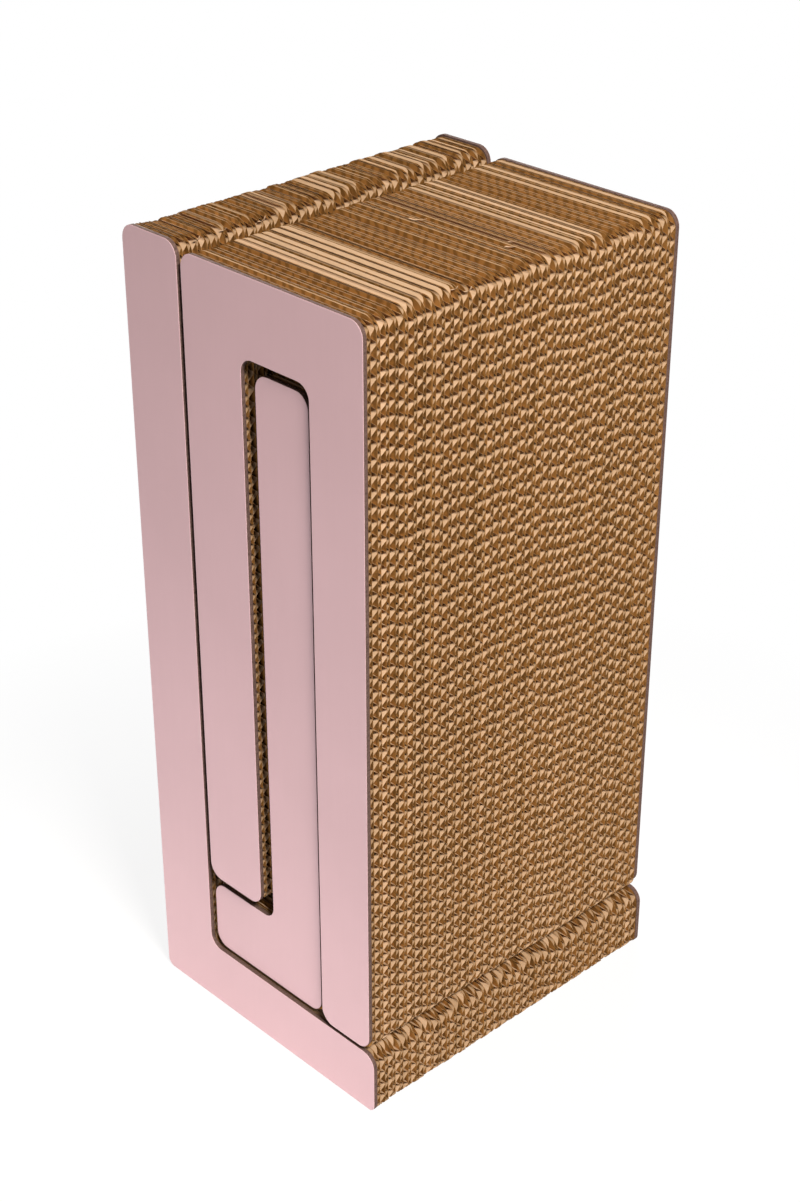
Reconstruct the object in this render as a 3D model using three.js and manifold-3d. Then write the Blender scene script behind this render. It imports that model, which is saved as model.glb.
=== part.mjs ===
// A nesting cat scratcher: three blocks of corrugated board that stand as one rectangular post.
// The outer block is an L, the middle block an arch that drops in over it, and the inner block a
// boot that fills the arch. Each block is a stack of die-cut corrugated sheets, glued face to face
// along the depth, between two thin painted boards. A sheet is double-wall: a layer of short flutes and
// a layer of tall ones. They run across the width, so their open ends are the scratching faces.
// Millimetres, X to the right of the front face, Y away from it, Z up, origin under the middle.
import * as THREE from "three";
import { mergeVertices } from "three/addons/utils/BufferGeometryUtils.js";
import Module from "manifold-3d";

const wasm = await Module();
wasm.setup();

// Depth of every block, and how it is built up
const blockDepth = 236;
const panelThickness = 3;
const sheetCount = 36;
const courseCount = 6;
const shortLayer = 2.2;
const flutePitch = 8.6;
const fluteStagger = 2.7;
const glueLine = 0.2;

// Outer block: a column at the left and a foot under everything
const outerHeight = 500;
const outerColumnWidth = 46;
const outerFootHeight = 41.5;
const footOverhang = 4;

// Middle block: a short left leg, a bar over the top and a long right leg
const middleTopDrop = 3.4;
const middleBarHeight = 45.6;
const middleLeftLegWidth = 46.5;
const middleRightLegWidth = 40.5;
const slotWidth = 53.5;

// Inner block: a column in the slot and a foot below the short leg
const innerColumnWidth = 41.5;
const innerFootHeight = 48.6;
const innerRecess = 2.5;

// Fits between the blocks, which are loose so that a hand can part them
const seatGap = 0.3;
const columnClearance = 3.5;
const legTipClearance = 7;
const slotTopClearance = 7.2;
const slotSideClearance = 3.7;

// The boards stop short of the edge that a block stands on, so that the sheets carry the weight
const boardRelief = 2.4;

// Corner radii: outward corners, inward corners and those on the floor
const outwardRadius = 9.2;
const inwardRadius = 8.8;
const floorRadius = 5;

// How far a cutting solid runs past the solid that it cuts
const overcut = 1;

// Places that follow from the sizes above, from the left end of the foot and from the floor
const middleLeft = outerColumnWidth + columnClearance;
const slotLeft = middleLeft + middleLeftLegWidth;
const slotRight = slotLeft + slotWidth;
const middleRight = slotRight + middleRightLegWidth;
const footLength = middleRight + footOverhang;
const seatHeight = outerFootHeight + seatGap;
const boardBottom = seatHeight + boardRelief;
const middleTop = outerHeight - middleTopDrop;
const slotTop = middleTop - middleBarHeight;
const innerRight = slotRight - slotSideClearance;
const innerColumnLeft = innerRight - innerColumnWidth;
const innerFootTop = seatHeight + innerFootHeight;
const innerTop = slotTop - slotTopClearance;
const legTip = innerFootTop + legTipClearance;

const sheetThickness = (blockDepth - 2 * panelThickness) / sheetCount;
const sheetsPerCourse = sheetCount / courseCount;

const out = (x, z) => ({ point: new THREE.Vector2(x, z), radius: outwardRadius });
const inward = (x, z) => ({ point: new THREE.Vector2(x, z), radius: inwardRadius });
const onFloor = (x, z) => ({ point: new THREE.Vector2(x, z), radius: floorRadius });

// Corners of each block, counter-clockwise as seen from the front; the middle and inner blocks stand
// on the outer block's foot, at a height that differs between their sheets and their boards
const outerCorners = [
  onFloor(0, 0),
  onFloor(footLength, 0),
  out(footLength, outerFootHeight),
  inward(outerColumnWidth, outerFootHeight),
  out(outerColumnWidth, outerHeight),
  out(0, outerHeight),
];
const middleCorners = (bottom) => [
  out(middleLeft, legTip),
  out(slotLeft, legTip),
  inward(slotLeft, slotTop),
  inward(slotRight, slotTop),
  out(slotRight, bottom),
  out(middleRight, bottom),
  out(middleRight, middleTop),
  out(middleLeft, middleTop),
];
const innerCorners = (bottom) => [
  out(middleLeft, bottom),
  out(innerRight, bottom),
  out(innerRight, innerTop),
  out(innerColumnLeft, innerTop),
  inward(innerColumnLeft, innerFootTop),
  out(middleLeft, innerFootTop),
];

const paintedBoard = new THREE.MeshStandardMaterial({ color: "#dcb7bc", roughness: 0.5, metalness: 0 });
const flutedPaper = new THREE.MeshStandardMaterial({ color: "#c08f55", roughness: 0.9, metalness: 0 });
const gluedPaper = new THREE.MeshStandardMaterial({ color: "#a9763f", roughness: 0.9, metalness: 0 });

// Square corners rounded by arcs
function roundedOutline(corners) {
  const outline = new THREE.Shape();
  corners.forEach(({ point, radius }, i) => {
    const before = corners.at(i - 1).point;
    const after = corners[(i + 1) % corners.length].point;
    const arriving = point.clone().sub(before).normalize();
    const leaving = after.clone().sub(point).normalize();
    const turn = Math.sign(arriving.cross(leaving));
    const centre = point.clone().addScaledVector(arriving, -radius).addScaledVector(leaving, radius);
    const from = Math.atan2(-leaving.y, -leaving.x);
    const to = Math.atan2(arriving.y, arriving.x);
    outline.absarc(centre.x, centre.y, radius, from, to, turn < 0);
  });
  return outline;
}

const acrossX = new THREE.Vector3(1, 0, 0);
const backY = new THREE.Vector3(0, 1, 0);
const upZ = new THREE.Vector3(0, 0, 1);

// A face outline given thickness along the depth, starting at the depth front
function slab(outline, front, thickness) {
  const arcSteps = 2;
  const geometry = new THREE.ExtrudeGeometry(outline, {
    depth: thickness,
    curveSegments: arcSteps,
    bevelEnabled: false,
  });
  const upright = new THREE.Matrix4().makeBasis(acrossX, upZ, backY.clone().negate());
  return geometry.applyMatrix4(upright).translate(0, front + thickness, 0);
}

// A side profile, depth by height, run across the whole width
function runAcross(profile) {
  const geometry = new THREE.ExtrudeGeometry(profile, {
    depth: footLength + 2 * overcut,
    bevelEnabled: false,
  });
  const sideways = new THREE.Matrix4().makeBasis(backY, upZ, acrossX);
  return geometry.applyMatrix4(sideways).translate(-overcut, 0, 0);
}

// The short flutes as one closed layer, with the tall flutes on its back, whose crests stop short of
// the next sheet
function flutedProfile(front, stagger) {
  const root = front + shortLayer;
  const crest = front + sheetThickness - glueLine;
  const start = stagger - 2 * flutePitch;
  const count = Math.ceil(outerHeight / flutePitch) + 3;
  const profile = new THREE.Shape();
  profile.moveTo(front, start);
  profile.lineTo(root, start);
  for (let flute = 0; flute < count; flute++) {
    profile.lineTo(crest, start + (flute + 0.5) * flutePitch);
    profile.lineTo(root, start + (flute + 1) * flutePitch);
  }
  profile.lineTo(front, start + count * flutePitch);
  return profile;
}

function toSolid(geometry) {
  const bare = geometry.clone();
  bare.deleteAttribute("normal");
  bare.deleteAttribute("uv");
  const merged = mergeVertices(bare);
  return new wasm.Manifold(
    new wasm.Mesh({
      numProp: 3,
      vertProperties: merged.attributes.position.array,
      triVerts: new Uint32Array(merged.index.array),
    }),
  );
}

function toGeometry(solid) {
  const { vertProperties, triVerts } = solid.getMesh();
  const geometry = new THREE.BufferGeometry();
  geometry.setAttribute("position", new THREE.BufferAttribute(vertProperties, 3));
  geometry.setIndex(new THREE.BufferAttribute(triVerts, 1));
  geometry.computeVertexNormals();
  return geometry;
}

// One corrugated sheet: the run of flutes trimmed to the face outline
function flutedSheet(outline, front, stagger) {
  const flutes = toSolid(runAcross(flutedProfile(front, stagger)));
  const trim = toSolid(slab(outline, front - overcut, sheetThickness + 2 * overcut));
  return toGeometry(flutes.intersect(trim));
}

function named(name, geometry, material) {
  const mesh = new THREE.Mesh(geometry, material.clone());
  mesh.name = name;
  return mesh;
}

// A block from front to back: a board, courses of one open sheet and the sheets glued behind it, a board
function makeBlock(name, sheetCorners, boardCorners) {
  const block = new THREE.Group();
  const face = roundedOutline(boardCorners);
  const sheet = roundedOutline(sheetCorners);
  const panel = panelThickness - glueLine;
  block.add(named(`${name}_front_panel`, slab(face, 0, panel), paintedBoard));
  for (let course = 0; course < courseCount; course++) {
    const front = panelThickness + course * sheetsPerCourse * sheetThickness;
    const stagger = (course * fluteStagger) % flutePitch;
    const bundle = (sheetsPerCourse - 1) * sheetThickness - glueLine;
    block.add(named(`${name}_fluted_sheet_${course + 1}`, flutedSheet(sheet, front, stagger), flutedPaper));
    block.add(
      named(`${name}_sheet_bundle_${course + 1}`, slab(sheet, front + sheetThickness, bundle), gluedPaper),
    );
  }
  block.add(named(`${name}_back_panel`, slab(face, blockDepth - panel, panel), paintedBoard));
  return block;
}

// The three blocks stand nested, with the inner one pushed in a little past the front
const frontFace = -(blockDepth + innerRecess) / 2;
const leftEnd = -footLength / 2;
const scratcher = new THREE.Group();
const outer = makeBlock("outer", outerCorners, outerCorners);
outer.position.set(leftEnd, frontFace, 0);
const middle = makeBlock("middle", middleCorners(seatHeight), middleCorners(boardBottom));
middle.position.set(leftEnd, frontFace, 0);
const inner = makeBlock("inner", innerCorners(seatHeight), innerCorners(boardBottom));
inner.position.set(leftEnd, frontFace + innerRecess, 0);
scratcher.add(outer, middle, inner);

export default scratcher;
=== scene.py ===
# %% [markdown]
# # A nesting cat scratcher
# The object is three blocks of corrugated board that nest into one upright
# rectangle: an L, an arch that hangs over it, and a boot inside the arch.
# Each block is a stack of die-cut sheets of double-wall board, glued face to
# face between two thin painted boards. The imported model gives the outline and
# the place of every piece, so the first cell loads it and keeps its box, and
# everything below is built around it.

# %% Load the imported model
import math
import random

import bmesh
import bpy
from mathutils import Matrix, Vector, noise


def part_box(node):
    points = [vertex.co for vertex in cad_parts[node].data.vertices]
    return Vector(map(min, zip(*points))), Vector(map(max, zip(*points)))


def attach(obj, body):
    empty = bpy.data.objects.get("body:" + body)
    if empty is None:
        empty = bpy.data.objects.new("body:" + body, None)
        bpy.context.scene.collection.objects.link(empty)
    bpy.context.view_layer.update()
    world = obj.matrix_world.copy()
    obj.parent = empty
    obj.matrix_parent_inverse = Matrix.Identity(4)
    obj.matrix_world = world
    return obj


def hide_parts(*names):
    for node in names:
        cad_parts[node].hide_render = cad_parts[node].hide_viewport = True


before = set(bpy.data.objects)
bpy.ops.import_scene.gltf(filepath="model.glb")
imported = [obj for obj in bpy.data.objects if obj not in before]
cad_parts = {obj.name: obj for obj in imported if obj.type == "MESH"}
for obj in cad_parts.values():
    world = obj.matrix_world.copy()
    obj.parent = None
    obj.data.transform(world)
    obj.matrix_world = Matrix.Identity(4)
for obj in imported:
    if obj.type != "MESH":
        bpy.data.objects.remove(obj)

MM = 0.001
TOUCH = 1e-6
HEART = Vector((0, 0, 0.25))
BLOCKS = ("outer", "middle", "inner")
COURSES = range(1, 7)
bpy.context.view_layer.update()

# %% [markdown]
# ## Camera
# The photograph looks down on the front right corner. The camera's place was
# fitted once to the corners of the three blocks, so it is written as an eye
# point, a compass angle and a tilt. A long lens keeps the uprights close to
# parallel, as they are in the photograph.

# %% Camera
EYE = Vector((0.8095, -0.7767, 0.8858))
COMPASS = math.radians(46.40)
TILT = math.radians(29.12)
LENS_MM = 64.88
SENSOR_MM = 36

camera_data = bpy.data.cameras.new("camera")
camera_data.lens = LENS_MM
camera_data.sensor_width = SENSOR_MM
camera_data.sensor_fit = "AUTO"
camera = bpy.data.objects.new("camera", camera_data)
camera.location = EYE
camera.rotation_euler = (math.pi / 2 - TILT, 0, COMPASS)
bpy.context.scene.collection.objects.link(camera)
bpy.context.scene.camera = camera
print("camera stands", round((EYE - HEART).length, 3), "m from the middle of the object")

# %% [markdown]
# ## Floor, backdrop and light
# The studio is a white table under one strong key lamp. The key stands high
# at the right and only a little in front of the painted face, so its light
# crosses the flute mouths: the walls that face up are bright, the liners
# between them get less of it and the folds above stay dark. It grazes the
# boards, which are lit as much by the white table, so a low, near fill makes
# them paler towards the foot and a second one lifts their right side. A lamp
# behind keeps the back readable. White comes from the table's and the world's
# own colour for the rays that see them, so no extra light falls on the object,
# and the table keeps a faint shadow.

# %% Node helpers
def new_material(name):
    material = bpy.data.materials.new(name)
    material.use_nodes = True
    tree = material.node_tree
    tree.nodes.clear()
    return material, tree.nodes, tree.links


def join(links, *steps):
    for source, target in steps:
        links.new(source, target)


def ramp_between(nodes, start, end, first, last):
    ramp = nodes.new("ShaderNodeValToRGB")
    ramp.color_ramp.elements[0].position = start
    ramp.color_ramp.elements[0].color = (*first, 1)
    ramp.color_ramp.elements[1].position = end
    ramp.color_ramp.elements[1].color = (*last, 1)
    return ramp


def noise_texture(nodes, scale, detail):
    texture = nodes.new("ShaderNodeTexNoise")
    texture.inputs["Scale"].default_value = scale
    texture.inputs["Detail"].default_value = detail
    return texture


def surface_bump(nodes, strength, distance):
    bump = nodes.new("ShaderNodeBump")
    bump.inputs["Strength"].default_value = strength
    bump.inputs["Distance"].default_value = distance
    return bump


def map_range(nodes, low, high, new_low, new_high):
    mapped = nodes.new("ShaderNodeMapRange")
    mapped.inputs["From Min"].default_value = low
    mapped.inputs["From Max"].default_value = high
    mapped.inputs["To Min"].default_value = new_low
    mapped.inputs["To Max"].default_value = new_high
    return mapped


# %% White table and world
TABLE_EDGE, TABLE_FADE = 0.30, 0.65
TABLE_NEAR, TABLE_FAR = 0.9, 0.1
SHADOW_EDGE, SHADOW_FADE = 0.20, 0.50
SEEN_WHITE = 0.86


def seen_directly(nodes, links):
    """1 for a ray from the camera, also by way of a glossy or a clear surface."""
    path = nodes.new("ShaderNodeLightPath")
    mirrored = nodes.new("ShaderNodeMath")
    mirrored.operation = "MAXIMUM"
    seen = nodes.new("ShaderNodeMath")
    seen.operation = "MAXIMUM"
    join(
        links,
        (path.outputs["Is Camera Ray"], mirrored.inputs[0]),
        (path.outputs["Is Glossy Ray"], mirrored.inputs[1]),
        (mirrored.outputs[0], seen.inputs[0]),
        (path.outputs["Is Transmission Ray"], seen.inputs[1]),
    )
    return seen.outputs[0]


def white_table():
    material, nodes, links = new_material("white_table")
    output = nodes.new("ShaderNodeOutputMaterial")
    paper = nodes.new("ShaderNodeBsdfDiffuse")
    glow = nodes.new("ShaderNodeEmission")
    glow.inputs["Color"].default_value = (1, 1, 1, 1)
    place = nodes.new("ShaderNodeTexCoord")
    reach = nodes.new("ShaderNodeVectorMath")
    reach.operation = "LENGTH"
    paleness = map_range(nodes, TABLE_EDGE, TABLE_FADE, TABLE_NEAR, TABLE_FAR)
    whiteness = map_range(nodes, SHADOW_EDGE, SHADOW_FADE, SEEN_WHITE, 1)
    share = nodes.new("ShaderNodeMath")
    share.operation = "MULTIPLY"
    mix = nodes.new("ShaderNodeMixShader")
    join(
        links,
        (place.outputs["Object"], reach.inputs[0]),
        (reach.outputs["Value"], paleness.inputs["Value"]),
        (reach.outputs["Value"], whiteness.inputs["Value"]),
        (paleness.outputs["Result"], paper.inputs["Color"]),
        (seen_directly(nodes, links), share.inputs[0]),
        (whiteness.outputs["Result"], share.inputs[1]),
        (share.outputs[0], mix.inputs["Fac"]),
        (paper.outputs[0], mix.inputs[1]),
        (glow.outputs[0], mix.inputs[2]),
        (mix.outputs[0], output.inputs["Surface"]),
    )
    return material


def white_world(strength):
    world = bpy.data.worlds.new("studio")
    bpy.context.scene.world = world
    world.use_nodes = True
    nodes, links = world.node_tree.nodes, world.node_tree.links
    nodes.clear()
    output = nodes.new("ShaderNodeOutputWorld")
    room = nodes.new("ShaderNodeBackground")
    room.inputs["Color"].default_value = (1, 0.97, 0.95, 1)
    room.inputs["Strength"].default_value = strength
    white = nodes.new("ShaderNodeBackground")
    white.inputs["Color"].default_value = (1, 1, 1, 1)
    mix = nodes.new("ShaderNodeMixShader")
    join(
        links,
        (seen_directly(nodes, links), mix.inputs["Fac"]),
        (room.outputs[0], mix.inputs[1]),
        (white.outputs[0], mix.inputs[2]),
        (mix.outputs[0], output.inputs["Surface"]),
    )


ROOM_LIGHT = 0.03
white_world(ROOM_LIGHT)
bpy.context.scene.view_settings.view_transform = "Standard"
print("room light", ROOM_LIGHT)

# %% Floor and lamps
FLOOR_HALF = 4.0


def make_object(name, bm, *materials):
    mesh = bpy.data.meshes.new(name)
    bm.to_mesh(mesh)
    bm.free()
    for material in materials:
        mesh.materials.append(material)
    piece = bpy.data.objects.new(name, mesh)
    bpy.context.scene.collection.objects.link(piece)
    return piece


bm = bmesh.new()
bmesh.ops.create_grid(bm, x_segments=1, y_segments=1, size=FLOOR_HALF)
floor = make_object("table", bm, white_table())


def soft_lamp(name, place, target, width, height, watts, colour):
    data = bpy.data.lights.new(name, "AREA")
    data.shape = "RECTANGLE"
    data.size = width
    data.size_y = height
    data.energy = watts
    data.color = colour
    lamp = bpy.data.objects.new(name, data)
    lamp.location = place
    lamp.rotation_euler = (Vector(target) - Vector(place)).to_track_quat("-Z", "Y").to_euler()
    lamp.visible_camera = False
    bpy.context.scene.collection.objects.link(lamp)


soft_lamp("key", (1.43, -0.56, 1.9), HEART, 0.5, 0.5, 79, (1, 0.94, 0.89))
soft_lamp("low_fill", (0, -0.62, 0.08), (0, 0, 0.08), 0.6, 0.12, 1.0, (1, 0.955, 1))
soft_lamp("near_fill", (0.45, -0.8, 0.6), (0.05, 0, 0.35), 0.3, 0.3, 0.5, (1, 0.95, 0.90))
soft_lamp("back_fill", (-1.5, 1.4, 0.7), HEART, 1.2, 1.0, 45, (1, 0.98, 0.96))

# %% [markdown]
# ## Reading the outlines
# Seen from the front, each block is a polygon of upright and level walls. The
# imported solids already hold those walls, so the lesson measures them instead
# of repeating numbers: it adds up the area of the triangles that face squarely
# along X or along Z and keeps the places where there is a real wall.

# %% Measure the walls
WALL_AREA = 1e-4
THIN_WALL_AREA = WALL_AREA / 4
SQUARE_ON = 0.999


def wall_places(node, axis, least_area):
    areas = {}
    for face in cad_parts[node].data.polygons:
        if abs(face.normal[axis]) > SQUARE_ON:
            place = round(face.center[axis], 5)
            areas[place] = areas.get(place, 0) + face.area
    return sorted(place for place, area in areas.items() if area > least_area)


def outline(block, node, least_area):
    x = wall_places(node, 0, least_area)
    z = wall_places(node, 2, least_area)
    if block == "outer":
        return [(x[0], z[0]), (x[2], z[0]), (x[2], z[1]), (x[1], z[1]), (x[1], z[2]), (x[0], z[2])]
    if block == "inner":
        return [(x[0], z[0]), (x[2], z[0]), (x[2], z[2]), (x[1], z[2]), (x[1], z[1]), (x[0], z[1])]
    left_leg = [(x[0], z[1]), (x[1], z[1]), (x[1], z[2])]
    right_leg = [(x[2], z[2]), (x[2], z[0]), (x[3], z[0])]
    return left_leg + right_leg + [(x[3], z[3]), (x[0], z[3])]


CORE_OUTLINE = {b: outline(b, f"{b}_sheet_bundle_1", WALL_AREA) for b in BLOCKS}
PANEL_OUTLINE = {b: outline(b, f"{b}_front_panel", THIN_WALL_AREA) for b in BLOCKS}
for b in BLOCKS:
    print(b, "core", [(round(x / MM, 1), round(z / MM, 1)) for x, z in CORE_OUTLINE[b]])

# %% [markdown]
# ## A rounded slab
# Boards and sheets are cut with the same knife: square corners first, then
# every corner eased to a round. A slab is one face pushed through its
# thickness, and its upright corner edges are bevelled, with one radius for
# the corners that turn outwards, one for those that turn inwards and a small
# one for the two that stand on the floor.

# %% Rounded slab
OUTWARD_RADIUS = 9.2 * MM
INWARD_RADIUS = 8.8 * MM
FLOOR_RADIUS = 5 * MM
ROUND_STEPS = 8


def corner_turns(corners):
    """1 where the outline turns outwards at a corner, -1 where it turns inwards."""
    turns = []
    for i, (x, z) in enumerate(corners):
        before, after = corners[i - 1], corners[(i + 1) % len(corners)]
        cross = (x - before[0]) * (after[1] - z) - (z - before[1]) * (after[0] - x)
        turns.append(1 if cross > 0 else -1)
    return turns


def corner_radius(corner, turn):
    if corner[1] < FLOOR_RADIUS:
        return FLOOR_RADIUS
    return OUTWARD_RADIUS if turn > 0 else INWARD_RADIUS


def is_upright(edge, members):
    a, b = (v.co for v in edge.verts)
    if abs(a.x - b.x) + abs(a.z - b.z) > TOUCH:
        return False
    return any(abs(a.x - x) + abs(a.z - z) < TOUCH for x, z in members)


def rounded_slab(corners, front, back):
    bm = bmesh.new()
    face = bm.faces.new([bm.verts.new((x, front, z)) for x, z in corners])
    pushed = bmesh.ops.extrude_face_region(bm, geom=[face])["geom"]
    moved = [v for v in pushed if isinstance(v, bmesh.types.BMVert)]
    bmesh.ops.translate(bm, verts=moved, vec=(0, back - front, 0))
    radii = {}
    for corner, turn in zip(corners, corner_turns(corners)):
        radii.setdefault(corner_radius(corner, turn), []).append(corner)
    for radius, members in radii.items():
        edges = [e for e in bm.edges if is_upright(e, members)]
        bmesh.ops.bevel(
            bm, geom=edges, offset=radius, offset_type="OFFSET", segments=ROUND_STEPS,
            profile=0.5, affect="EDGES", material=-1, clamp_overlap=False,
        )
    bmesh.ops.recalc_face_normals(bm, faces=bm.faces)
    return bm


# %% [markdown]
# ## Painted boards
# The faces are thin hardboard, sprayed a satin pale pink on the outside, with
# the sawn edge left bare and dark. Each board is a rounded slab whose rims get
# a very small bevel. The paint runs over the front bevel, so that it catches a
# thin line of light along the edge. The back, which is glued to the sheets,
# stays raw.

# %% Board materials
def satin_pink():
    material, nodes, links = new_material("satin_pink_paint")
    output = nodes.new("ShaderNodeOutputMaterial")
    paint = nodes.new("ShaderNodeBsdfPrincipled")
    paint.inputs["Specular IOR Level"].default_value = 0.4
    place = nodes.new("ShaderNodeTexCoord")
    cloud = noise_texture(nodes, scale=9, detail=3)
    upright = nodes.new("ShaderNodeMapping")
    upright.inputs["Scale"].default_value = (1, 1, 0.06)
    streak = noise_texture(nodes, scale=330, detail=2)
    blend = nodes.new("ShaderNodeMath")
    blend.operation = "MULTIPLY_ADD"
    blend.inputs[1].default_value = 0.15
    tint = ramp_between(nodes, 0.45, 0.9, (0.655, 0.438, 0.460), (0.70, 0.472, 0.497))
    spray = noise_texture(nodes, scale=1400, detail=2)
    sheen = map_range(nodes, 0, 1, new_low=0.36, new_high=0.5)
    skin = surface_bump(nodes, strength=0.06, distance=0.0003)
    join(
        links,
        (place.outputs["Object"], cloud.inputs["Vector"]),
        (place.outputs["Object"], upright.inputs["Vector"]),
        (upright.outputs["Vector"], streak.inputs["Vector"]),
        (place.outputs["Object"], spray.inputs["Vector"]),
        (streak.outputs["Fac"], blend.inputs[0]),
        (cloud.outputs["Fac"], blend.inputs[2]),
        (blend.outputs[0], tint.inputs["Fac"]),
        (tint.outputs["Color"], paint.inputs["Base Color"]),
        (cloud.outputs["Fac"], sheen.inputs["Value"]),
        (sheen.outputs["Result"], paint.inputs["Roughness"]),
        (spray.outputs["Fac"], skin.inputs["Height"]),
        (skin.outputs["Normal"], paint.inputs["Normal"]),
        (paint.outputs["BSDF"], output.inputs["Surface"]),
    )
    return material


def sawn_edge():
    material, nodes, links = new_material("sawn_board_edge")
    output = nodes.new("ShaderNodeOutputMaterial")
    board = nodes.new("ShaderNodeBsdfPrincipled")
    board.inputs["Roughness"].default_value = 0.8
    board.inputs["Specular IOR Level"].default_value = 0.15
    place = nodes.new("ShaderNodeTexCoord")
    fibre = noise_texture(nodes, scale=700, detail=4)
    tint = ramp_between(nodes, 0.3, 0.75, (0.075, 0.045, 0.037), (0.17, 0.105, 0.088))
    rough = surface_bump(nodes, strength=0.4, distance=0.0004)
    join(
        links,
        (place.outputs["Object"], fibre.inputs["Vector"]),
        (fibre.outputs["Fac"], tint.inputs["Fac"]),
        (tint.outputs["Color"], board.inputs["Base Color"]),
        (fibre.outputs["Fac"], rough.inputs["Height"]),
        (rough.outputs["Normal"], board.inputs["Normal"]),
        (board.outputs["BSDF"], output.inputs["Surface"]),
    )
    return material


PAINT = satin_pink()
SAWN = sawn_edge()
print("board finishes:", PAINT.name, SAWN.name)

# %% Cut the six boards
RIM = 0.2 * MM
RIM_STEPS = 2
OUTSIDE = {"front": -1, "back": 1}
PAINTED_FACING = 0.3
FLAT_FACING = 0.99


def painted_board(block, side):
    node = f"{block}_{side}_panel"
    low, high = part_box(node)
    bm = rounded_slab(PANEL_OUTLINE[block], low.y, high.y)
    rims = [e for e in bm.edges if len({round(abs(f.normal.y)) for f in e.link_faces}) == 2]
    bmesh.ops.bevel(
        bm, geom=rims, offset=RIM, offset_type="OFFSET", segments=RIM_STEPS,
        profile=0.5, affect="EDGES", material=-1, clamp_overlap=False,
    )
    for face in bm.faces:
        face.material_index = 0 if face.normal.y * OUTSIDE[side] > PAINTED_FACING else 1
        face.smooth = abs(face.normal.y) < FLAT_FACING
    piece = make_object(f"{block}_{side}_board", bm, PAINT, SAWN)
    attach(piece, block)
    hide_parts(node)
    return piece


boards = [painted_board(block, side) for block in BLOCKS for side in ("front", "back")]
print("boards:", [(b.name, len(b.data.polygons)) for b in boards])

# %% [markdown]
# ## Kraft paper
# The flutes are a pale kraft that catches the light on the walls that face up.
# The liners are the same paper made browner and darker, which is painted
# shade for the liners deep in the flute mouths. They carry faint dark bars,
# evenly spaced across the flutes. A third finish, darker and rougher, paints
# the shade of the flute mouths onto the cut ends at the sides. All three have
# long fibres along the flutes, and one function makes them, so that they stay
# related.

# %% Paper materials
# Evenly spaced dark bars across the flutes of the liner, starting elsewhere on every sheet.
DAB_PITCH = 7.5 * MM
DAB_SHIFT = 90
DAB_WANDER = 8
DAB_START, DAB_END = -0.4, 0.7
DAB_PALE, DAB_DARK = 1.06, 0.62


def liner_bars(nodes, links, place, tone):
    """Soft dark bars across the flutes, which start elsewhere on every sheet."""
    apart = nodes.new("ShaderNodeSeparateXYZ")
    blur = noise_texture(nodes, scale=160, detail=2)
    along = nodes.new("ShaderNodeMath")
    along.operation = "MULTIPLY"
    along.inputs[1].default_value = 2 * math.pi / DAB_PITCH
    start = nodes.new("ShaderNodeMath")
    start.operation = "MULTIPLY_ADD"
    start.inputs[1].default_value = DAB_SHIFT
    wander = nodes.new("ShaderNodeMath")
    wander.operation = "MULTIPLY_ADD"
    wander.inputs[1].default_value = DAB_WANDER
    wave = nodes.new("ShaderNodeMath")
    wave.operation = "SINE"
    dabs = map_range(nodes, DAB_START, DAB_END, DAB_PALE, DAB_DARK)
    join(
        links,
        (place.outputs["Object"], apart.inputs[0]),
        (place.outputs["Object"], blur.inputs["Vector"]),
        (apart.outputs["X"], along.inputs[0]),
        (tone.outputs["Fac"], start.inputs[0]),
        (along.outputs[0], start.inputs[2]),
        (blur.outputs["Fac"], wander.inputs[0]),
        (start.outputs[0], wander.inputs[2]),
        (wander.outputs[0], wave.inputs[0]),
        (wave.outputs[0], dabs.inputs["Value"]),
    )
    return dabs


def kraft(name, dark, pale, bump, dabbed=False):
    material, nodes, links = new_material(name)
    output = nodes.new("ShaderNodeOutputMaterial")
    paper = nodes.new("ShaderNodeBsdfPrincipled")
    paper.inputs["Roughness"].default_value = 0.85
    paper.inputs["Specular IOR Level"].default_value = 0
    place = nodes.new("ShaderNodeTexCoord")
    along = nodes.new("ShaderNodeMapping")
    along.inputs["Scale"].default_value = (0.12, 1, 1)
    fibre = noise_texture(nodes, scale=900, detail=3)
    tone = nodes.new("ShaderNodeAttribute")
    tone.attribute_name = "tone"
    blend = nodes.new("ShaderNodeMath")
    blend.operation = "MULTIPLY_ADD"
    blend.inputs[1].default_value = 0.5
    tint = ramp_between(nodes, 0.25, 0.85, dark, pale)
    rough = surface_bump(nodes, bump, distance=0.0003)
    join(
        links,
        (place.outputs["Object"], along.inputs["Vector"]),
        (along.outputs["Vector"], fibre.inputs["Vector"]),
        (fibre.outputs["Fac"], blend.inputs[0]),
        (tone.outputs["Fac"], blend.inputs[2]),
        (blend.outputs[0], tint.inputs["Fac"]),
        (fibre.outputs["Fac"], rough.inputs["Height"]),
        (rough.outputs["Normal"], paper.inputs["Normal"]),
        (paper.outputs["BSDF"], output.inputs["Surface"]),
    )
    if dabbed:
        barred = nodes.new("ShaderNodeVectorMath")
        barred.operation = "SCALE"
        dabs = liner_bars(nodes, links, place, tone)
        join(
            links,
            (tint.outputs["Color"], barred.inputs[0]),
            (dabs.outputs["Result"], barred.inputs["Scale"]),
            (barred.outputs[0], paper.inputs["Base Color"]),
        )
    else:
        links.new(tint.outputs["Color"], paper.inputs["Base Color"])
    return material


FLUTING = kraft("fluting_paper", (0.44, 0.288, 0.163), (0.67, 0.468, 0.30), 0.3)
# The liner colour is the fluting kraft darkened: painted shade for the liners in the flute mouths.
SHADED_LINER = kraft("liner_paper_painted_shade", (0.325, 0.158, 0.044), (0.50, 0.262, 0.086), 0.3, dabbed=True)
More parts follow.
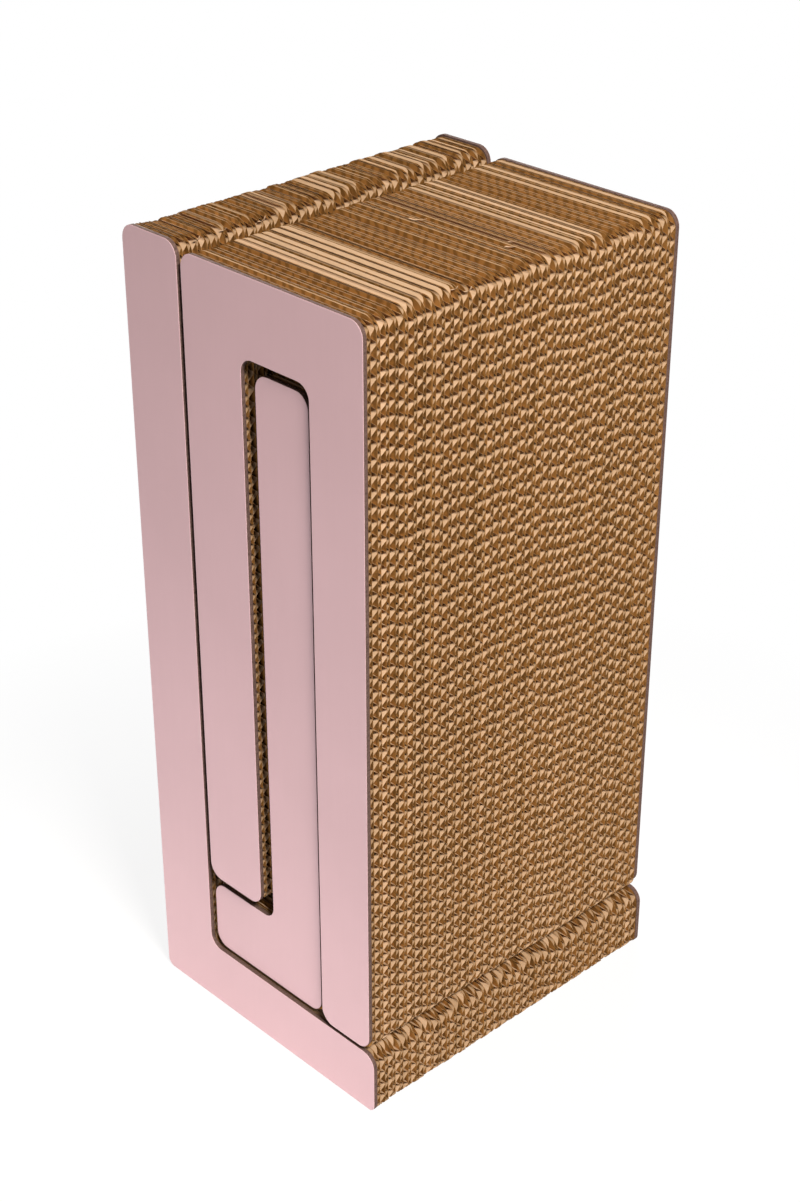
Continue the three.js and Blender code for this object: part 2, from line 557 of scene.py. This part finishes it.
# The cut-edge colour is darker still: painted shade for the dark lines at the flute mouths on the sides.
SHADED_CUT_PAPER = kraft("cut_paper_edge_painted_shade", (0.27, 0.135, 0.045), (0.42, 0.225, 0.09), 0.5)
PAPERS = (FLUTING, SHADED_LINER, SHADED_CUT_PAPER)
FLUTING_SLOT, SHADED_LINER_SLOT, SHADED_CUT_SLOT = range(len(PAPERS))
print("paper finishes:", [paper.name for paper in PAPERS])

# %% [markdown]
# ## Corrugated sheets
# A close look at the flute mouths shows two columns in every sheet, a narrow
# one and a wide one: it is double-wall board, short flutes in front, tall
# flutes behind, and a liner before each. A wave is made from one fold: a few
# points joined by edges, copied up the sheet with spin, whose step here is a
# plain shift, then drawn across the block and given the paper's thickness. The
# folds are gently rounded, because the crests are flattened where they are
# glued, and their sides are almost straight. Down the sheet the folds drift a
# little from their even spacing, but not at the top, where their place is known.

# %% One wave of paper
TALL = {
    "pitch": 8.6 * MM,
    "fold": ((0, 0), (0.085, 0.03), (0.135, 0.14), (0.365, 0.86), (0.415, 0.97), (0.5, 1)),
}
SHORT = {
    "pitch": 6.33 * MM,
    "fold": ((0, 0), (0.11, 0.08), (0.39, 0.92), (0.5, 1)),
}
DRIFT, DRIFT_SCALE, DRIFT_SEED = 2.9 * MM, 9, 7.3
WOBBLE, WOBBLE_SCALE, WOBBLE_SEED, WOBBLE_PLANE = 0.4 * MM, 160, 3.1, 5
PAPER_THICK = 0.13 * MM
OVERCUT = 3 * MM


def whole_fold(half):
    """A half fold goes out from the liner; its mirror image comes back."""
    return list(half) + [(1 - z, y) for z, y in reversed(half[:-1])]


def fluted_paper(wave, front, back, left, right, low, high, seed):
    bm = bmesh.new()
    pitch = wave["pitch"]
    depth = back - front - PAPER_THICK
    root = front + PAPER_THICK / 2
    fold = [bm.verts.new((left, root + depth * y, low + pitch * z)) for z, y in whole_fold(wave["fold"])]
    edges = [bm.edges.new(pair) for pair in zip(fold, fold[1:])]
    bmesh.ops.spin(
        bm, geom=fold + edges, cent=(0, 0, 0), axis=(1, 0, 0), dvec=(0, 0, pitch),
        angle=0, steps=math.ceil((high - low) / pitch), use_duplicate=True,
    )
    bmesh.ops.remove_doubles(bm, verts=bm.verts, dist=TOUCH)
    at_top = noise.noise((seed * DRIFT_SEED, high * DRIFT_SCALE, 0))
    for v in bm.verts:
        drift = noise.noise((seed * DRIFT_SEED, v.co.z * DRIFT_SCALE, 0)) - at_top
        wobble = noise.noise((seed * WOBBLE_SEED, v.co.z * WOBBLE_SCALE, WOBBLE_PLANE))
        v.co.z += DRIFT * drift + WOBBLE * wobble
    drawn = bmesh.ops.extrude_edge_only(bm, edges=bm.edges)["geom"]
    far = [v for v in drawn if isinstance(v, bmesh.types.BMVert)]
    bmesh.ops.translate(bm, verts=far, vec=(right - left, 0, 0))
    bmesh.ops.solidify(bm, geom=bm.faces, thickness=PAPER_THICK)
    bmesh.ops.recalc_face_normals(bm, faces=bm.faces)
    return bm


def flat_liner(bm, front, left, right, low, high):
    size = Vector((right - left, PAPER_THICK, high - low))
    middle = Vector(((left + right) / 2, front + PAPER_THICK / 2, (low + high) / 2))
    stretched = Matrix.Translation(middle) @ Matrix.Diagonal(size.to_4d())
    box = bmesh.ops.create_cube(bm, size=1, matrix=stretched)
    for face in {f for v in box["verts"] for f in v.link_faces}:
        face.material_index = SHADED_LINER_SLOT


# %% Measure the stack
SHEETS_IN_COURSE = 6
GLUE = 0.03 * MM
SHORT_LAYER = 2.24 * MM


def core_start(block, course):
    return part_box(f"{block}_fluted_sheet_{course}")[0].y


SHEET_STEP = (core_start("outer", 2) - core_start("outer", 1)) / SHEETS_IN_COURSE
print("sheets lie", round(SHEET_STEP / MM, 3), "mm apart,", SHORT_LAYER / MM, "mm of each in short flutes")

# %% [markdown]
# ## Sheets in and out of step
# The sheets of a block are cut from the same roll, a few at a time, so runs of
# neighbours stand in step and the next run starts somewhere else in the flute.
# It shows on top, where the runs were read sheet by sheet. A run is a count of
# sheets and the places where the cut falls in their tall and short flutes: near
# a crest (0.5) the stripe is pale, near the liner (0) the brown liner behind
# shows, and well past the crest (0.75 to 0.9) a dark slit opens. No two sheets
# are cut or glued quite alike either, so every free edge is drawn in by a
# fraction of a millimetre, and a few sheets stand lower than the rest. Both
# sources of chance are seeded, so that every run cuts the same sheets.

# %% Where the top cut falls in each sheet's tall and short flutes
RUNS = {
    "outer": (
        (4, 0.05, 0.2), (1, 0.75, 0.2), (1, 0.05, 0.75), (1, 0.78, 0.2), (1, 0.2, 0.2),
        (1, 0.05, 0.4), (2, 0.05, 0.2), (1, 0.85, 0.75), (1, 0.3, 0.75), (1, 0.78, 0.75),
        (1, 0.05, 0.2), (1, 0.85, 0.2), (1, 0.08, 0.2), (1, 0.36, 0.2), (1, 0.36, 0.7),
        (1, 0.28, 0.7), (1, 0.36, 0.7), (2, 0.05, 0.2), (2, 0.87, 0.2), (2, 0.32, 0.8),
        (1, 0.2, 0.8), (1, 0.36, 0.8), (2, 0.28, 0.85), (1, 0.33, 0.8), (1, 0.85, 0.2),
        (3, 0.26, 0.82),
    ),
    "middle": (
        (4, 0.04, 0.2), (6, 0.40, 0.75), (1, 0.05, 0.3), (1, 0.05, 0.75), (6, 0.05, 0.18),
        (1, 0.88, 0.2), (1, 0.06, 0.2), (2, 0.78, 0.2), (2, 0.05, 0.2), (1, 0.38, 0.75),
        (1, 0.27, 0.3), (1, 0.40, 0.75), (1, 0.38, 0.75), (4, 0.04, 0.18), (1, 0.33, 0.2),
        (1, 0.36, 0.2), (1, 0.9, 0.2), (1, 0.27, 0.9),
    ),
    "inner": ((7, 0.36, 0.7), (9, 0.05, 0.2), (6, 0.34, 0.6), (14, 0.06, 0.2)),
}
SUNKEN = {"outer": (2, 9, 14, 21, 24, 32), "middle": (15,), "inner": (7, 16)}
SINK = {"outer": 0.7 * MM, "middle": 1.0 * MM, "inner": 1.0 * MM}
STEP_JITTER = {"outer": 0.09, "middle": 0.05, "inner": 0.05}
UNEVEN = {"outer": 0.9 * MM, "middle": 0.6 * MM, "inner": 0.5 * MM}
RUN_UNEVEN = 0.5 * MM
random.seed(11)
noise.seed_set(11)


def sheet_habits(block):
    """For each sheet: where its flutes are cut at the top, and how far its top stands low."""
    habits = []
    for count, tall, short in RUNS[block]:
        run_drop = random.uniform(0, RUN_UNEVEN)
        for _ in range(count):
            habits.append({
                "tall": tall + random.gauss(0, STEP_JITTER[block]),
                "short": short + random.gauss(0, STEP_JITTER[block]),
                "drop": run_drop + (SINK[block] if len(habits) in SUNKEN[block] else 0),
            })
    return habits


HABITS = {block: sheet_habits(block) for block in BLOCKS}
print("sheets in each block:", {b: len(h) for b, h in HABITS.items()})

# %% The uneven outline of one sheet
FOOT_TOP = CORE_OUTLINE["outer"][2][1]
RIGHT_LEG_END = CORE_OUTLINE["middle"][4][1]
KEPT_LEVELS = {CORE_OUTLINE[b][0][1] for b in BLOCKS} | {FOOT_TOP, RIGHT_LEG_END}


def uneven_outline(corners, most, top_drop):
    """Each free wall drawn in a little; the undersides and the top of the foot stay in place."""
    top = max(z for x, z in corners)
    shifted = [list(corner) for corner in corners]
    for i, (x, z) in enumerate(corners):
        j = (i + 1) % len(corners)
        draw = random.uniform(0, most)
        if abs(x - corners[j][0]) < TOUCH:
            inward = -1 if corners[j][1] > z else 1
            shifted[i][0] += inward * draw
            shifted[j][0] += inward * draw
        elif min(abs(z - level) for level in KEPT_LEVELS) > TOUCH:
            inward = 1 if corners[j][0] > x else -1
            draw += top_drop if z == top else 0
            shifted[i][1] += inward * draw
            shifted[j][1] += inward * draw
    return [tuple(corner) for corner in shifted]


# %% [markdown]
# ## Cutting and stacking
# Every sheet is made too large and then cut by its own rounded slab, as a die
# cuts it. A Boolean modifier with the Manifold solver does that quickly and
# leaves closed meshes. Six sheets are gathered into a course, which is one
# piece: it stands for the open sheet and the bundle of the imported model.

# %% Cut one sheet, gather six
BLOCK_SEEDS = 50


def merge_into(bm, other):
    mesh = bpy.data.meshes.new("merging")
    other.to_mesh(mesh)
    other.free()
    bm.from_mesh(mesh)
    bpy.data.meshes.remove(mesh)


def whole_sheet(block, sheet, front):
    xs = [x for x, z in CORE_OUTLINE[block]]
    zs = [z for x, z in CORE_OUTLINE[block]]
    left, right = min(xs) - OVERCUT, max(xs) + OVERCUT
    low, high = min(zs) - OVERCUT, max(zs) + OVERCUT
    seed = sheet + BLOCK_SEEDS * BLOCKS.index(block)
    middle = front + SHORT_LAYER
    back = front + SHEET_STEP - GLUE
    bm = bmesh.new()
    flat_liner(bm, front, left, right, low, high)
    flat_liner(bm, middle, left, right, low, high)
    if sheet == len(HABITS[block]) - 1:
        back -= PAPER_THICK
        flat_liner(bm, back, left, right, low, high)
        back -= GLUE
    layers = (
        (SHORT, front, middle, HABITS[block][sheet]["short"]),
        (TALL, middle, back, HABITS[block][sheet]["tall"]),
    )
    for wave, start, end, phase in layers:
        copies = math.ceil((high - low) / wave["pitch"]) + 1
        foot = max(zs) - (phase + copies) * wave["pitch"]
        root = start + PAPER_THICK + GLUE
        merge_into(bm, fluted_paper(wave, root, end - GLUE, left, right, foot, high, seed))
    return bm


def cut_to_outline(piece, cutter):
    cut = piece.modifiers.new("die_cut", "BOOLEAN")
    cut.operation = "INTERSECT"
    cut.solver = "MANIFOLD"
    cut.object = cutter
    graph = bpy.context.evaluated_depsgraph_get()
    return bpy.data.meshes.new_from_object(piece.evaluated_get(graph))


def cut_sheet(block, sheet, front):
    blank = make_object("blank", whole_sheet(block, sheet, front), *PAPERS)
    corners = uneven_outline(CORE_OUTLINE[block], UNEVEN[block], HABITS[block][sheet]["drop"])
    knife = make_object("knife", rounded_slab(corners, front - OVERCUT, front + SHEET_STEP + OVERCUT))
    mesh = cut_to_outline(blank, knife)
    for tool in (blank, knife):
        bpy.data.objects.remove(tool)
    return mesh


def paper_course(block, course):
    bm = bmesh.new()
    for k in range(SHEETS_IN_COURSE):
        sheet = (course - 1) * SHEETS_IN_COURSE + k
        mesh = cut_sheet(block, sheet, core_start(block, course) + k * SHEET_STEP)
        bm.from_mesh(mesh)
        bpy.data.meshes.remove(mesh)
    piece = make_object(f"{block}_course_{course}", bm, *PAPERS)
    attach(piece, block)
    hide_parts(f"{block}_fluted_sheet_{course}", f"{block}_sheet_bundle_{course}")
    return piece


courses = [(block, paper_course(block, course)) for block in BLOCKS for course in COURSES]
print("courses:", len(courses), "faces in all:", sum(len(p.data.polygons) for b, p in courses))

# %% [markdown]
# ## Cut edges
# Where the die has cut, the edge is ragged and a little crushed. The cut ends
# at the sides take the darker cut-edge paper, painted shade for the dark lines
# in the flute mouths, and the cuts on top keep the pale colour of the flutes.
# The faces of the cut are found by the way they look, out of the block instead
# of along it, and their points are drawn in by a smooth noise, so that both
# skins of a paper move together. A point that two such faces share goes by the
# one that looks up more. Every sheet also gets a tone of its own, and its short
# flutes a darker one, which is painted shade.

# %% Mark the cut edges and tint each sheet
RAGGED = {"outer": 0.45 * MM, "middle": 0.25 * MM, "inner": 0.25 * MM}
BENT, BENT_DEPTH = 0.15 * MM, 0.4
GUST_SCALE = 420
SWELL, SWELL_SCALE = 0.5, 60
SIDE_FACING, TOP_FACING = 0.05, 0.97
TINT = {"outer": 0.2, "middle": 0.3, "inner": 0.28}
TINT_SPAN = 0.25
SHEET_SEED, BLOCK_SEED, TINT_PLANE = 5.7, 3.3, 1.5
SHORT_FLUTE_PAINTED_SHADE = 1.2


def finish_course(block, piece):
    mesh = piece.data
    start = core_start(block, 1)
    tone = mesh.attributes.new("tone", "FLOAT", "FACE")
    looks_out = {}
    for face in mesh.polygons:
        across, up = abs(face.normal.x), abs(face.normal.z)
        if across > SIDE_FACING or up > TOP_FACING:
            # Cut ends at the sides take the darker paper, which is painted shade; cuts on top stay pale.
            face.material_index = SHADED_CUT_SLOT if across > SIDE_FACING else FLUTING_SLOT
            for index in face.vertices:
                if index not in looks_out or face.normal.z > looks_out[index].z:
                    looks_out[index] = face.normal.copy()
        sheet = math.floor((face.center.y - start) / SHEET_STEP)
        shade = noise.noise((sheet * SHEET_SEED, BLOCKS.index(block) * BLOCK_SEED, TINT_PLANE))
        # Painted shade: faces in the short flutes are darkened, as less light reaches into them.
        if face.center.y - start - sheet * SHEET_STEP < SHORT_LAYER:
            shade -= SHORT_FLUTE_PAINTED_SHADE
        tone.data[face.index].value = TINT[block] + TINT_SPAN * shade
    floor_level = CORE_OUTLINE[block][0][1] + MM
    for index, out in looks_out.items():
        place = mesh.vertices[index].co
        if place.z < floor_level:
            continue
        gust = noise.noise_vector(place * GUST_SCALE)
        drawn = (abs(gust.x) + SWELL * abs(noise.noise(place * SWELL_SCALE))) * RAGGED[block]
        place += Vector((0, BENT_DEPTH * gust.y, gust.z)) * BENT * abs(out.x) - out * drawn
    mesh.update()


for block, piece in courses:
    finish_course(block, piece)
shares = [0] * len(PAPERS)
for block, piece in courses:
    for face in piece.data.polygons:
        shares[face.material_index] += 1
print("faces of fluting, liner and cut edge:", shares)
print("largest course:", max(len(p.data.polygons) for b, p in courses), "faces")

# %% [markdown]
# ## Torn flaps
# Here and there the die has torn the paper instead of cutting it, and a pale
# flap stands up from the edge. A flap is one short edge swept round an axis
# with spin, so it curls evenly, and it narrows towards its tip. It starts a
# little inside its sheet, against the liner that it was torn from. The list
# gives each flap's sheet, its distance from the right side and its length in
# millimetres, and the angle that it curls through in degrees.

# %% A few torn flaps
FLAP_WIDE = 1.8 * MM
FLAP_TIP = 0.3
FLAP_ROOT = 1.2 * MM
FLAP_STEPS = 6
FLAP_TONE = 0.8
FLAPS = {
    "outer": ((2, 3, 6, 80), (5, 4, 5, 60), (9, 3, 7, 80)),
    "middle": ((11, 3, 6, 80), (10, 6, 5, 70), (19, 97, 14, 25), (20, 30, 8, 30), (21, 34, 6, 40)),
}


def round_drop(reach):
    """How far below the top the rounded corner lies, this far in from the right side."""
    past_round = max(0, OUTWARD_RADIUS - reach)
    return OUTWARD_RADIUS - math.sqrt(OUTWARD_RADIUS ** 2 - past_round ** 2)


def curl(bm, root, length, angle):
    centre = root + Vector((0, 0, length / angle))
    ends = [bm.verts.new(root), bm.verts.new(root - Vector((0, FLAP_WIDE, 0)))]
    edge = bm.edges.new(ends)
    older = set(bm.verts) - set(ends)
    bmesh.ops.spin(bm, geom=ends + [edge], cent=centre, axis=(0, -1, 0), angle=angle, steps=FLAP_STEPS)
    for v in set(bm.verts) - older:
        share = math.atan2(v.co.x - centre.x, centre.z - v.co.z) / angle
        v.co.y = root.y + (v.co.y - root.y) * (1 - share * (1 - FLAP_TIP))


def torn_flaps(block):
    bm = bmesh.new()
    top = max(z for x, z in CORE_OUTLINE[block])
    right = max(x for x, z in CORE_OUTLINE[block] if z == top)
    for sheet, reach, length, turn in FLAPS[block]:
        liner = core_start(block, 1) + sheet * SHEET_STEP
        root = Vector((right - reach * MM, liner, top - round_drop(reach * MM) - FLAP_ROOT))
        curl(bm, root, length * MM, math.radians(turn))
    bmesh.ops.solidify(bm, geom=bm.faces, thickness=PAPER_THICK)
    bmesh.ops.recalc_face_normals(bm, faces=bm.faces)
    piece = make_object(f"{block}_torn_flaps", bm, FLUTING)
    tone = piece.data.attributes.new("tone", "FLOAT", "FACE")
    for face in piece.data.polygons:
        tone.data[face.index].value = FLAP_TONE
    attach(piece, block)
    return piece


flaps = [torn_flaps(block) for block in FLAPS]
print("flaps:", [(p.name, len(p.data.polygons)) for p in flaps])
